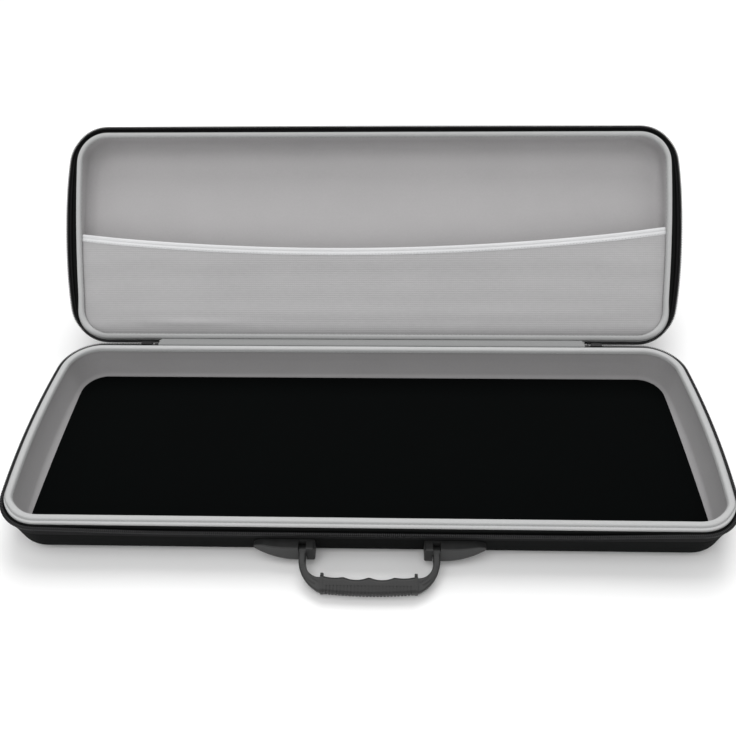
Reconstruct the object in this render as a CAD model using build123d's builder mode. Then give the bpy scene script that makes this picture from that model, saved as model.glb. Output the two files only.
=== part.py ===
"""Zip-around hard-shell carry case for a slim keyboard controller, standing open.

Millimetres, +X to the right, +Y to the back, +Z up, origin under the middle of the base on the floor.
Both halves are formed foam shells with the same plan. A point on a half is given by its inset from the
rim's outer edge and its depth from the plane where the two rims meet.
"""

import math
import os

from build123d import *

# Plan of both halves, measured over the zip
case_width = 641.0
case_depth = 227.0
side_bow = 8.0
corner_radius = 39.0

# Depth of each half, from the meeting plane of the rims
base_height = 46.0
lid_height = 35.0

# Formed shell
shell_wall = 4.2
straight_lip = 18.0
wall_taper = 8.0
bottom_radius = 14.0
lining_thickness = 0.7
rim_gap = 0.15

# Zip, binding and tape round the rims
coil_diameter = 2.9
coil_depth = 2.9
fit_clearance = 0.1
binding_leg = 1.0
binding_inner_leg = 0.7
binding_cap = 3.3
binding_height = 5.0
binding_round = 2.2
tape_thickness = 0.8
tape_height = 15.0
zip_end_gap = 95.5
tape_flare = 2.6
stop_length = 4.0
stop_round = 0.8

# Soft hinge along the back
hinge_behind = 1.9
hinge_drop = 5.3
open_angle = 133.2
hinge_end_gap = 7.0
hinge_fabric = 1.2
hinge_fabric_height = 22.0
hinge_lap_start = 13.0
hinge_tab = 2.7
hinge_gap = 0.15

# Foam pad and pocket
pad_thickness = 5.0
pad_clearance = 0.5
pad_edge_radius = 1.5
pocket_depth = 7.0
pocket_thickness = 0.8
pocket_reach_left = 116.0
pocket_reach_right = 124.5
pocket_dip = 19.0
pocket_seam = 0.3
elastic_width = 8.0
elastic_thickness = 1.8

# Sliders and pulls
slider_length = 11.0
slider_offset = 8.0
slider_plate = 1.1
slider_clearance = 0.3
slider_height = 8.1
slider_flange = 0.8
bail_radius = 0.5
bail_cheek = 1.0
bail_depth = 7.0
running_clearance = 0.06
pull_eye_wall = 0.74
pull_eye_width = 3.2
pull_neck = 4.0
pull_width = 7.0
pull_length = 26.0
pull_thickness = 1.0
pull_round = 2.4
pull_hole_radius = 1.6

# Handle, in its own plane: reach is measured from the pivot line
handle_centre = 4.0
handle_reach = 36.5
handle_floor_gap = 0.3
eye_radius = 4.6
eye_width = 6.0
eye_centre = 56.5
arm_outer_straight = 7.0
arm_inner_straight = 10.0
arm_thickness = 8.6
arm_round = 1.5
grip_half_length = 40.5
grip_depth = 14.5
grip_thickness = 14.0
grip_wall = 2.4
grip_bulge = 2.0
grip_round = 3.0
finger_pitch = 21.2
finger_height = 2.2
finger_round = 4.0
finger_end_rise = 1.2
collar_length = 2.4
collar_stand = 3.6
collar_proud = 0.5
collar_fin = 7.0
collar_round = 1.2
rib_pitch = 2.9
rib_gap = 1.1
rib_depth = 0.8
rib_reach = 7.5
groove_width = 1.4
groove_depth = 0.8
groove_spacing = 3.2
groove_start = (55.4, 11.0)
groove_bend = (51.9, 20.5)
groove_finish = (43.5, 27.0)
groove_side = (0.8, 0.6)

# Handle brackets and what clamps them through the wall
pivot_height = 18.5
bracket_back = 0.8
bracket_clearance = 0.3
bracket_height = 17.7
bracket_tip = 100.0
bracket_tip_rise = 2.0
bracket_shoulder = 88.0
bracket_lug = 7.0
bracket_front = 1.6
bracket_tip_thickness = 3.6
bracket_tip_round = 3.0
bracket_corner = 2.0
bracket_round = 1.0
pin_radius = 2.0
pin_bite = 5.0
pin_recess = 0.5
pin_chamfer = 0.3
plate_length = 34.0
plate_height = 14.0
plate_thickness = 1.6
plate_corner = 3.0
screw_inner = 68.0
screw_outer = 88.0
screw_height = 21.5
screw_radius = 1.5
screw_head_radius = 3.0
screw_head_height = 1.6
screw_bite = 4.0
recess_length = 3.4
recess_width = 0.7
recess_depth = 0.8

# Insets that follow from the sizes above
half_depth = case_depth / 2
binding_outer = coil_diameter + fit_clearance
shell_outer = binding_outer + binding_leg
shell_inner = shell_outer + shell_wall
lining_inner = shell_inner + lining_thickness
binding_inner = lining_inner + binding_inner_leg
wall_top = rim_gap + binding_cap
zip_end = case_width / 2 - zip_end_gap
hinge_half_length = zip_end - hinge_end_gap
hinge_y = half_depth + hinge_behind
hinge_z = base_height - hinge_drop

# The base hangs down from the rim plane; the lid is the same thing, swung open about the hinge line
swing = math.radians(open_angle)
lid_y = hinge_y - hinge_y * math.cos(swing) + hinge_drop * math.sin(swing)
lid_z = hinge_z + hinge_y * math.sin(swing) + hinge_drop * math.cos(swing)
base_frame = Plane(origin=(0, 0, base_height), x_dir=(-1, 0, 0), z_dir=(0, 0, -1))
lid_frame = Plane(origin=(0, lid_y, lid_z), x_dir=(1, 0, 0), z_dir=(0, math.sin(swing), math.cos(swing)))

os.makedirs("parts", exist_ok=True)


def save(part, name):
    """Label a finished piece and write it as one STEP file."""
    part.label = name
    export_step(part, f"parts/{name}.step")


def plan(inset=0.0):
    """Plan of a half, in its own frame: straight front and back, bowed short sides, round corners."""
    edge_x = case_width / 2 - side_bow
    with BuildSketch(Plane.XY) as outline:
        with BuildLine():
            ThreePointArc((edge_x, -half_depth), (case_width / 2, 0), (edge_x, half_depth))
            Line((edge_x, half_depth), (-edge_x, half_depth))
            ThreePointArc((-edge_x, half_depth), (-case_width / 2, 0), (-edge_x, -half_depth))
            Line((-edge_x, -half_depth), (edge_x, -half_depth))
        make_face()
        fillet(outline.vertices(), corner_radius)
        if inset:
            offset(amount=-inset, mode=Mode.REPLACE)
    return outline.sketch


def formed_block(plane, inset, top, bottom, radius):
    """Solid with the shell's draft: straight lip, tapered wall and a round bottom edge."""
    outline = plan(inset)
    with BuildPart() as block:
        with BuildSketch(plane.offset(top)):
            add(outline)
        extrude(amount=straight_lip - top)
        with BuildSketch(plane.offset(straight_lip)):
            add(outline)
        extrude(amount=bottom - straight_lip, taper=wall_taper)
        floor_face = block.faces().sort_by(Axis(plane.origin, plane.z_dir))[-1]
        fillet(floor_face.edges(), radius)
    return block.part


def shell(plane, height):
    """Formed foam shell of one half, open at the rim."""
    with BuildPart() as body:
        add(formed_block(plane, shell_outer, wall_top, height, bottom_radius))
        inner_radius = bottom_radius - shell_wall
        add(formed_block(plane, shell_inner, -wall_top, height - shell_wall, inner_radius), mode=Mode.SUBTRACT)
    return body


def lining(plane, height):
    """Knitted lining bonded to the inside of a shell."""
    floor = height - shell_wall
    radius = bottom_radius - shell_wall
    with BuildPart() as skin:
        add(formed_block(plane, shell_inner, wall_top, floor, radius))
        inner = formed_block(
            plane, lining_inner, -wall_top, floor - lining_thickness, radius - lining_thickness
        )
        add(inner, mode=Mode.SUBTRACT)
    return skin


def rim_section_plane(path, plane):
    """Plane across the rim at the path's start: X is the inset, Y the depth below the meeting plane."""
    start = path @ 0
    inward = plane.z_dir.cross(path % 0)
    if inward.dot(plane.origin - start) < 0:
        inward = inward * -1
    return Plane(origin=start, x_dir=inward, z_dir=inward.cross(plane.z_dir))


def closed_rim(plane):
    """Rim's outer edge as one closed wire."""
    outline = plan()
    with BuildSketch(plane) as rim:
        add(outline)
    return rim.sketch.face().outer_wire()


def zip_run(plane):
    """Rim's outer edge from one end of the zip, round the front, to the other end."""
    edges = closed_rim(plane).edges().sort_by(Axis(plane.origin, plane.y_dir))
    back = edges[-1]
    tips = [plane.from_local_coords((side * zip_end, half_depth, 0)) for side in (1, -1)]
    corners = [max((back @ 0, back @ 1), key=lambda end: end.dot(tip - plane.origin)) for tip in tips]
    stubs = [Edge.make_line(tip, corner) for tip, corner in zip(tips, corners)]
    return Wire([stubs[0], *edges[:-1], stubs[1]])


def rim_binding(plane):
    """Piped binding folded over the top of the wall and the lining's edge."""
    path = closed_rim(plane)
    with BuildPart() as binding:
        with BuildSketch(rim_section_plane(path, plane)) as section:
            with BuildLine():
                Polyline(
                    (binding_outer, rim_gap),
                    (binding_inner, rim_gap),
                    (binding_inner, binding_height),
                    (lining_inner, binding_height),
                    (lining_inner, wall_top),
                    (shell_outer, wall_top),
                    (shell_outer, binding_height),
                    (binding_outer, binding_height),
                    close=True,
                )
            make_face()
            fillet(section.vertices().group_by(Axis.Y)[0], binding_round)
        sweep(path=path)
    return binding


def zipper_tape(plane):
    """Woven tape sewn to the outside of the wall, flared out under the coil."""
    path = zip_run(plane)
    coil_bottom = coil_depth + coil_diameter / 2
    flare = coil_bottom + fit_clearance
    with BuildPart() as tape:
        with BuildSketch(rim_section_plane(path, plane)):
            with BuildLine():
                Polyline(
                    (shell_outer, binding_height + fit_clearance),
                    (shell_outer, tape_height),
                    (shell_outer - tape_thickness, tape_height),
                    (shell_outer - tape_thickness, flare + tape_flare),
                    (coil_diameter / 3, flare + tape_thickness),
                    (coil_diameter / 3, flare),
                    (coil_diameter * 0.75, flare),
                    (binding_outer - fit_clearance, binding_height + fit_clearance),
                    close=True,
                )
            make_face()
        sweep(path=path)
    return tape


def zipper_coil(plane):
    """Row of teeth of one half, as the cord that they are woven on."""
    path = zip_run(plane)
    with BuildPart() as coil:
        with BuildSketch(rim_section_plane(path, plane)):
            with Locations((coil_diameter / 2, coil_depth)):
                Circle(coil_diameter / 2)
        sweep(path=path)
    return coil


def hinge_half(plane, pivot_depth):
    """One half of the hinge cloth: lapped on the back wall and turned out to the hinge line."""
    start = pivot_depth + hinge_gap
    outer = hinge_gap - hinge_behind
    inner = outer + hinge_fabric
    bend = max(pivot_depth, 0) + hinge_tab
    section = Plane(
        origin=plane.from_local_coords((hinge_half_length, half_depth, 0)),
        x_dir=plane.y_dir * -1,
        z_dir=plane.x_dir * -1,
    )
    with BuildPart() as cloth:
        with BuildSketch(section):
            with BuildLine():
                Polyline(
                    (outer, start),
                    (inner, start),
                    (inner, bend),
                    (shell_outer, hinge_lap_start),
                    (shell_outer, hinge_fabric_height),
                    (shell_outer - hinge_fabric, hinge_fabric_height),
                    (shell_outer - hinge_fabric, hinge_lap_start + hinge_fabric / 2),
                    (outer, bend + hinge_fabric / 2),
                    close=True,
                )
            make_face()
        extrude(amount=2 * hinge_half_length)
    return cloth


def wall_inset(inset, height):
    """Inset of a base wall surface at a height above the floor."""
    below_lip = max(base_height - height - straight_lip, 0)
    return inset + below_lip * math.tan(math.radians(wall_taper))


# Screws that clamp the handle brackets through the front wall, and the holes that they need
front_view = Plane(origin=(handle_centre, 0, 0), x_dir=(1, 0, 0), z_dir=(0, -1, 0))
screw_points = [(side * reach, screw_height) for side in (-1, 1) for reach in (screw_inner, screw_outer)]
screw_seat = half_depth - wall_inset(lining_inner + plate_thickness / 2, screw_height)
screw_tip = half_depth - wall_inset(shell_outer, screw_height) + screw_bite
wall_face = half_depth - shell_outer


def screw_cylinders(radius, start, finish):
    """Four cylinders on the lines of the screws, between two distances in front of the case's middle."""
    with BuildPart() as cylinders:
        with BuildSketch(front_view.offset(start)):
            with Locations(*screw_points):
                Circle(radius)
        extrude(amount=finish - start)
    return cylinders.part


screw_holes = screw_cylinders(screw_radius + fit_clearance, screw_seat - screw_head_height, wall_face)
head_seats = screw_cylinders(screw_head_radius + fit_clearance, screw_seat - 2 * screw_head_height, screw_seat)
with BuildPart() as bracket_screws:
    add(screw_cylinders(screw_radius, screw_seat, screw_tip))
    add(screw_cylinders(screw_head_radius, screw_seat - screw_head_height, screw_seat))
    with BuildSketch(front_view.offset(screw_seat - screw_head_height)):
        with Locations(*screw_points):
            Rectangle(recess_length, recess_width)
            Rectangle(recess_width, recess_length)
    extrude(amount=recess_depth, mode=Mode.SUBTRACT)

# Base half: shell, lining, binding and its side of the zip
with BuildPart() as base_shell:
    add(shell(base_frame, base_height).part)
    add(screw_holes, mode=Mode.SUBTRACT)
with BuildPart() as base_lining:
    add(lining(base_frame, base_height).part)
    add(screw_holes, mode=Mode.SUBTRACT)
base_binding = rim_binding(base_frame)
base_zipper_tape = zipper_tape(base_frame)
base_zipper_coil = zipper_coil(base_frame)
hinge_cloth_base = hinge_half(base_frame, hinge_drop)

# Lid half
lid_shell = shell(lid_frame, lid_height)
lid_lining = lining(lid_frame, lid_height)
lid_binding = rim_binding(lid_frame)
lid_zipper_tape = zipper_tape(lid_frame)
lid_zipper_coil = zipper_coil(lid_frame)
hinge_cloth_lid = hinge_half(lid_frame, -hinge_drop)

# Foam pad, cut to the shape of the lined floor
pad_floor = base_height - shell_wall - lining_thickness
pad_radius = bottom_radius - shell_wall - lining_thickness - pad_clearance
with BuildPart() as foam_pad:
    add(formed_block(base_frame, lining_inner + pad_clearance, 0, pad_floor, pad_radius))
    split(bisect_by=base_frame.offset(pad_floor - pad_thickness), keep=Keep.TOP)
    fillet(foam_pad.faces().sort_by(Axis.Z)[-1].edges(), pad_edge_radius)

# Pocket: a stretched panel over the hinge side of the lid, with an elastic along its mouth
pocket_edge = case_width / 2
mouth_left = half_depth - pocket_reach_left
mouth_right = half_depth - pocket_reach_right
mouth_middle = (mouth_left + mouth_right) / 2 + pocket_dip


def pocket_band(plane, start, finish):
    """Part of the pocket's plane between two curves that run along its mouth."""
    inside = plan(lining_inner + pocket_seam)
    with BuildSketch(plane) as band:
        with BuildLine():
            near = ThreePointArc(
                (-pocket_edge, mouth_left + start),
                (0, mouth_middle + start),
                (pocket_edge, mouth_right + start),
            )
            if finish is None:
                Polyline(near @ 1, (pocket_edge, half_depth), (-pocket_edge, half_depth), near @ 0)
            else:
                far = ThreePointArc(
                    (-pocket_edge, mouth_left + finish),
                    (0, mouth_middle + finish),
                    (pocket_edge, mouth_right + finish),
                )
                Line(near @ 0, far @ 0)
                Line(near @ 1, far @ 1)
        make_face()
        add(inside, mode=Mode.INTERSECT)
    return band.sketch_local


panel_plane = lid_frame.offset(pocket_depth)
panel_outline = pocket_band(panel_plane, elastic_width, None)
with BuildPart() as pocket_panel:
    with BuildSketch(panel_plane):
        add(panel_outline)
    extrude(amount=pocket_thickness)

elastic_plane = lid_frame.offset(pocket_depth + pocket_thickness / 2 - elastic_thickness / 2)
elastic_outline = pocket_band(elastic_plane, 0, elastic_width)
with BuildPart() as pocket_elastic:
    with BuildSketch(elastic_plane):
        add(elastic_outline)
    extrude(amount=elastic_thickness)

# Metal stops that close the two ends of the zip
with BuildPart() as zipper_end_stops:
    for side in (-1, 1):
        with BuildSketch(base_frame.offset(coil_depth - coil_diameter / 2 - fit_clearance)):
            stop_x = side * (zip_end - stop_length / 2)
            with Locations((stop_x, half_depth - coil_diameter / 2)):
                RectangleRounded(stop_length, coil_diameter - 2 * fit_clearance, stop_round)
        extrude(amount=coil_diameter + 2 * fit_clearance)

# Sliders, parked at the ends of the zip on the back wall, each with a pull on its bail
slider_face = slider_clearance + slider_plate
bail_out = slider_face + bail_radius + running_clearance + pull_eye_wall + fit_clearance
bail_gap = pull_eye_width / 2 + running_clearance


def across_back(x):
    """Plane across the back rim at x: X is the inset from the rim's outer edge, Y the depth."""
    return Plane(origin=(x, half_depth, base_height), x_dir=(0, -1, 0), z_dir=(1, 0, 0))


def zipper_slider(side):
    """Slider wrapped round the coil, with two cheeks and the bar that its pull hangs on."""
    coil_top = coil_depth - coil_diameter / 2 - slider_clearance
    coil_bottom = coil_depth + coil_diameter / 2 + slider_clearance
    middle = side * (zip_end + slider_offset)
    with BuildPart() as slider:
        with BuildSketch(across_back(middle)):
            with BuildLine():
                Polyline(
                    (-slider_face, coil_top - slider_flange),
                    (coil_diameter - slider_clearance, coil_top - slider_flange),
                    (coil_diameter - slider_clearance, coil_top),
                    (-slider_clearance, coil_top),
                    (-slider_clearance, coil_bottom),
                    (coil_diameter / 3 - slider_clearance, coil_bottom),
                    (coil_diameter / 3 - slider_clearance, coil_bottom + slider_flange),
                    (-slider_clearance, coil_bottom + slider_flange),
                    (-slider_clearance, coil_top - slider_flange + slider_height),
                    (-slider_face, coil_top - slider_flange + slider_height),
                    close=True,
                )
            make_face()
        extrude(amount=slider_length / 2, both=True)
        outer_face = slider.faces().filter_by(Axis.Y).sort_by(Axis.Y)[-1]
        fillet(outer_face.edges().filter_by(Axis.Z), slider_plate / 2)
        for cheek in (-1, 1):
            with BuildSketch(across_back(middle + cheek * (bail_gap + bail_cheek / 2))):
                with BuildLine():
                    Polyline(
                        (-slider_clearance - slider_plate / 2, bail_depth - 2 * bail_radius),
                        (-bail_out, bail_depth - 2 * bail_radius),
                        (-bail_out - 2 * bail_radius, bail_depth),
                        (-bail_out, bail_depth + 2 * bail_radius),
                        (-slider_clearance - slider_plate / 2, bail_depth + 2 * bail_radius),
                        close=True,
                    )
                make_face()
            extrude(amount=bail_cheek / 2, both=True)
        with BuildSketch(across_back(middle)):
            with Locations((-bail_out, bail_depth)):
                Circle(bail_radius)
        extrude(amount=bail_gap + bail_cheek / 2, both=True)
    return slider


def zipper_pull(side):
    """Pull tab hanging from its slider's bar."""
    middle = side * (zip_end + slider_offset)
    eye_outer = bail_radius + running_clearance + pull_eye_wall
    tab_y = half_depth + bail_out
    tab_z = base_height - bail_depth
    with BuildPart() as pull:
        with BuildSketch(Plane(origin=(middle, tab_y, tab_z), x_dir=(1, 0, 0), z_dir=(0, -1, 0))):
            with Locations((0, -pull_length / 2)):
                Rectangle(pull_eye_width, pull_length)
            with Locations((0, -(pull_length + pull_neck) / 2)):
                RectangleRounded(pull_width, pull_length - pull_neck, pull_round)
            with Locations((0, -pull_length + pull_width / 2)):
                Circle(pull_hole_radius, mode=Mode.SUBTRACT)
        extrude(amount=pull_thickness / 2, both=True)
        with BuildSketch(across_back(middle)):
            with Locations((-bail_out, bail_depth)):
                Circle(eye_outer)
        extrude(amount=pull_eye_width / 2, both=True)
        with BuildSketch(across_back(middle)):
            with Locations((-bail_out, bail_depth)):
                Circle(bail_radius + running_clearance)
        extrude(amount=pull_width, both=True, mode=Mode.SUBTRACT)
    return pull


zipper_slider_left = zipper_slider(-1)
zipper_slider_right = zipper_slider(1)
zipper_pull_left = zipper_pull(-1)
zipper_pull_right = zipper_pull(1)

# Handle: it hangs from its pins with the grip's lower edge just off the floor
pivot_y = -(half_depth - shell_outer + bracket_back + eye_radius + bracket_clearance)
round_reach = handle_reach - grip_round
round_side = grip_thickness / 2 - grip_round
round_drop = pivot_height - grip_round - handle_floor_gap
handle_droop = math.asin(round_drop / math.hypot(round_reach, round_side)) - math.atan2(round_side, round_reach)
handle_plane = Plane(
    origin=(handle_centre, pivot_y, pivot_height),
    x_dir=(1, 0, 0),
    z_dir=(0, -math.sin(handle_droop), math.cos(handle_droop)),
)
eye_inner = eye_centre - eye_width / 2
eye_outer = eye_centre + eye_width / 2
finger_line = handle_reach - grip_depth
core_inner = finger_line + finger_height + grip_wall / 2
core_outer = handle_reach - grip_bulge - grip_wall

middle_plane = Plane(origin=(handle_centre, 0, 0), x_dir=(0, 1, 0), z_dir=(1, 0, 0))
pin_plane = Plane(origin=(handle_centre, pivot_y, pivot_height), x_dir=(0, 1, 0), z_dir=(1, 0, 0))
eye_plane = pin_plane.offset(eye_centre)

with BuildPart() as handle_arch:
    with BuildSketch(handle_plane):
        with BuildLine():
            outer_bend = TangentArc(
                (eye_outer, -arm_outer_straight),
                (grip_half_length, -(handle_reach - grip_bulge)),
                tangent=(0, -1),
            )
            inner_bend = TangentArc(
                (eye_inner, -arm_inner_straight), (grip_half_length, -finger_line), tangent=(0, -1)
            )
            Line(outer_bend @ 1, inner_bend @ 1)
            Polyline(inner_bend @ 0, (eye_inner, 0), (eye_outer, 0), outer_bend @ 0)
        make_face()
    extrude(amount=arm_thickness / 2, both=True)
    for broad_face in handle_arch.faces().filter_by(lambda f: abs(f.normal_at().dot(handle_plane.z_dir)) > 0.99):
        long_edges = broad_face.edges().filter_by(
            lambda e: e.center().X - handle_centre > grip_half_length + 1 and abs(e.length - eye_width) > 0.1
        )
        fillet(long_edges, arm_round)
    for face_side in (1, -1):
        with BuildSketch(handle_plane.offset(face_side * arm_thickness / 2)):
            for shift in (-groove_spacing / 2, groove_spacing / 2):
                sides = [
                    [
                        (across + width * groove_side[0], -(along + width * groove_side[1]))
                        for across, along in (groove_start, groove_bend, groove_finish)
                    ]
                    for width in (shift - groove_width / 2, shift + groove_width / 2)
                ]
                with BuildLine():
                    near = ThreePointArc(*sides[0])
                    far = ThreePointArc(*sides[1])
                    Line(near @ 0, far @ 0)
                    Line(near @ 1, far @ 1)
                make_face()
        extrude(amount=groove_depth, both=True, mode=Mode.SUBTRACT)
    with BuildSketch(eye_plane):
        Circle(eye_radius)
    extrude(amount=eye_width / 2, both=True)
    with BuildSketch(eye_plane):
        Circle(pin_radius + running_clearance)
    extrude(amount=eye_width, both=True, mode=Mode.SUBTRACT)
    mirror(about=middle_plane)
    with BuildSketch(handle_plane):
        with Locations((0, -(core_inner + core_outer) / 2)):
            Rectangle(2 * grip_half_length, core_outer - core_inner)
    extrude(amount=arm_thickness / 2, both=True)


def grip_form(inset):
    """Grip's outside, drawn in by an inset, with the hollows for the fingers along the inner edge."""
    thick = grip_thickness / 2 - inset
    outer = handle_reach - inset
    with BuildPart() as form:
        with BuildSketch(handle_plane) as outline:
            with BuildLine():
                back = ThreePointArc(
                    (-grip_half_length, -(outer - grip_bulge)), (0, -outer), (grip_half_length, -(outer - grip_bulge))
                )
                for side in (-1, 1):
                    peak = (side * finger_pitch, -finger_line)
                    ThreePointArc(
                        (0, -finger_line), (side * finger_pitch / 2, -(finger_line + finger_height)), peak
                    )
                    rise = finger_line - finger_end_rise
                    end = ThreePointArc(
                        peak,
                        (side * (finger_pitch + grip_half_length) / 2, -(finger_line + finger_height / 4)),
                        (side * grip_half_length, -rise),
                    )
                    Line(end @ 1, (side * grip_half_length, -(outer - grip_bulge)))
            make_face()
            peaks = outline.vertices().filter_by(
                lambda v: abs(v.X) < finger_pitch + 1 and v.Y > -(finger_line + finger_height)
            )
            fillet(peaks, finger_round)
        extrude(amount=thick, both=True)
        broad = form.faces().filter_by(lambda f: abs(f.normal_at().dot(handle_plane.z_dir)) > 0.99)
        long_edges = broad.edges().filter_by(lambda e: abs(e.center().X - handle_centre) < grip_half_length - 1)
        fillet(long_edges, grip_round - inset)
    return form.part


# Grip sleeve moulded round the middle of the handle, with ribs outside and collars at its ends
rib_count = 2 * int((grip_half_length - collar_length - rib_pitch) / rib_pitch) + 1
full_grip = grip_form(0)
drawn_grip = grip_form(rib_depth)
with BuildPart() as rib_gaps:
    with BuildSketch(handle_plane):
        with GridLocations(rib_pitch, 0, rib_count, 1):
            with Locations((0, -handle_reach + rib_reach / 2)):
                Rectangle(rib_gap, rib_reach)
    extrude(amount=grip_thickness, both=True)
    add(drawn_grip, mode=Mode.SUBTRACT)

with BuildPart() as handle_grip:
    add(full_grip)
    add(rib_gaps.part, mode=Mode.SUBTRACT)
    for side in (-1, 1):
        collar_x = handle_centre + side * (grip_half_length - collar_length / 2)
        collar_plane = Plane(origin=(collar_x, pivot_y, pivot_height), x_dir=handle_plane.y_dir, z_dir=(1, 0, 0))
        collar_top = finger_line - finger_end_rise
        collar_bottom = handle_reach - grip_bulge + collar_proud
        with BuildSketch(collar_plane):
            with Locations((-(collar_top + collar_bottom) / 2, 0)):
                RectangleRounded(collar_bottom - collar_top, grip_thickness + 2 * collar_proud, grip_round)
            with Locations((-collar_top - collar_round, 0)):
                RectangleRounded(2 * collar_stand, collar_fin, collar_round)
        extrude(amount=collar_length / 2, both=True)
    with BuildSketch(handle_plane):
        with Locations((0, -(core_inner + core_outer) / 2)):
            Rectangle(4 * grip_half_length, core_outer - core_inner)
    extrude(amount=arm_thickness / 2, both=True, mode=Mode.SUBTRACT)

# Brackets on the front wall: a lug inside the handle's eye and a long teardrop wing outside it
lug_face = -pivot_y + pin_radius + bracket_front
lug_inner = eye_inner - bracket_clearance - bracket_lug
bracket_top = pivot_height + bracket_height / 2
bracket_bottom = pivot_height - bracket_height / 2
pin_end = eye_outer + bracket_clearance + pin_bite
base_form = formed_block(base_frame, shell_outer, wall_top, base_height, bottom_radius)
lined_form = formed_block(base_frame, lining_inner, wall_top, pad_floor, pad_radius + pad_clearance)
plated_form = formed_block(
    base_frame, lining_inner + plate_thickness, wall_top, pad_floor - plate_thickness, pad_radius - plate_thickness
)


def pin_cylinder(side, start):
    """Cylinder on the pivot line, from a distance beside the handle's middle to the pin's blind end."""
    with BuildPart() as cylinder:
        with BuildSketch(pin_plane.offset(side * start)):
            Circle(pin_radius)
        extrude(amount=side * (pin_end - start))
    return cylinder.part


def handle_bracket(side):
    """One moulded bracket, shaped to the wall, with a slot for the handle's eye and bores for its pin."""
    floor = Plane(origin=(handle_centre, 0, bracket_bottom - 1), x_dir=(1, 0, 0), z_dir=(0, 0, 1))
    tip_height = pivot_height + bracket_tip_rise
    with BuildPart() as bracket:
        with BuildSketch(front_view) as outline:
            with BuildLine():
                top = Line((side * lug_inner, bracket_top), (side * bracket_shoulder, bracket_top))
                TangentArc(top @ 1, (side * bracket_tip, tip_height), tangent=top % 1)
                bottom = Line((side * lug_inner, bracket_bottom), (side * eye_outer, bracket_bottom))
                TangentArc(bottom @ 1, (side * bracket_tip, tip_height), tangent=bottom % 1)
                Line(top @ 0, bottom @ 0)
            make_face()
            fillet(outline.vertices().filter_by(lambda v: abs(v.X) > bracket_tip - 1), bracket_tip_round)
            fillet(outline.vertices().filter_by(lambda v: abs(v.X) < lug_inner + 1), bracket_corner)
        extrude(amount=lug_face)
        with BuildSketch(floor):
            with BuildLine():
                flat = Line((side * lug_inner, -lug_face), (side * (eye_outer + pin_bite), -lug_face))
                sweep_back = TangentArc(
                    flat @ 1, (side * bracket_tip, -(wall_face + bracket_tip_thickness)), tangent=flat % 1
                )
                Polyline(sweep_back @ 1, (side * bracket_tip, 0), (side * lug_inner, 0), flat @ 0)
            make_face()
        extrude(amount=bracket_height + 2, mode=Mode.INTERSECT)
        front_faces = bracket.faces().filter_by(lambda f: f.normal_at().Y < -0.5)
        joint_x = handle_centre + side * (eye_outer + pin_bite)
        fillet(front_faces.edges().filter_by(lambda e: abs(e.center().X - joint_x) > 0.1), bracket_round)
        add(base_form, mode=Mode.SUBTRACT)
        with BuildSketch(front_view.offset(wall_face + bracket_back)):
            with Locations((side * eye_centre, pivot_height)):
                Rectangle(eye_width + 2 * bracket_clearance, 2 * bracket_height)
        extrude(amount=lug_face, mode=Mode.SUBTRACT)
        add(pin_cylinder(side, lug_inner), mode=Mode.SUBTRACT)
        add(screw_cylinders(screw_radius, 0, screw_tip), mode=Mode.SUBTRACT)
    return bracket


def handle_pin(side):
    """Steel pin, pressed into its bracket from the lug's inner end."""
    with BuildPart() as pin:
        add(pin_cylinder(side, lug_inner + pin_recess))
        chamfer(pin.edges().filter_by(GeomType.CIRCLE), pin_chamfer)
    return pin


def backing_plate(side):
    """Steel plate inside the lining, which the two screws of a bracket pull against."""
    with BuildPart() as plate:
        with BuildSketch(front_view):
            with Locations((side * (screw_inner + screw_outer) / 2, screw_height)):
                RectangleRounded(plate_length, plate_height, plate_corner)
        extrude(amount=half_depth)
        add(lined_form, mode=Mode.INTERSECT)
        add(plated_form, mode=Mode.SUBTRACT)
        add(screw_holes, mode=Mode.SUBTRACT)
        add(head_seats, mode=Mode.SUBTRACT)
    return plate


handle_bracket_left = handle_bracket(-1)
handle_bracket_right = handle_bracket(1)
handle_pin_left = handle_pin(-1)
handle_pin_right = handle_pin(1)
backing_plate_left = backing_plate(-1)
backing_plate_right = backing_plate(1)

# Every piece, by the name of its node
pieces = {
    "base_shell": base_shell,
    "base_lining": base_lining,
    "base_binding": base_binding,
    "base_zipper_tape": base_zipper_tape,
    "base_zipper_coil": base_zipper_coil,
    "hinge_cloth_base": hinge_cloth_base,
    "foam_pad": foam_pad,
    "lid_shell": lid_shell,
    "lid_lining": lid_lining,
    "lid_binding": lid_binding,
    "lid_zipper_tape": lid_zipper_tape,
    "lid_zipper_coil": lid_zipper_coil,
    "hinge_cloth_lid": hinge_cloth_lid,
    "pocket_panel": pocket_panel,
    "pocket_elastic": pocket_elastic,
    "zipper_end_stops": zipper_end_stops,
    "zipper_slider_left": zipper_slider_left,
    "zipper_slider_right": zipper_slider_right,
    "zipper_pull_left": zipper_pull_left,
    "zipper_pull_right": zipper_pull_right,
    "handle_arch": handle_arch,
    "handle_grip": handle_grip,
    "handle_bracket_left": handle_bracket_left,
    "handle_bracket_right": handle_bracket_right,
    "handle_pin_left": handle_pin_left,
    "handle_pin_right": handle_pin_right,
    "backing_plate_left": backing_plate_left,
    "backing_plate_right": backing_plate_right,
    "bracket_screws": bracket_screws,
}
for name, piece in pieces.items():
    save(piece.part, name)
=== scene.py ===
"""Looks of an open zip-around carry case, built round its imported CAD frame.

Everything is in metres in the row frame. Each half of the case is modelled in its own local frame, where
X and Y lie in the plane in which the two rims meet, +Y points at the hinge and +Z is depth into the half.
"""

import logging
import math
from dataclasses import dataclass, replace
from enum import Enum
from typing import Callable, Iterable, Sequence

import bmesh
import bpy
from mathutils import Matrix, Vector, noise
from mathutils.kdtree import KDTree


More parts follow.
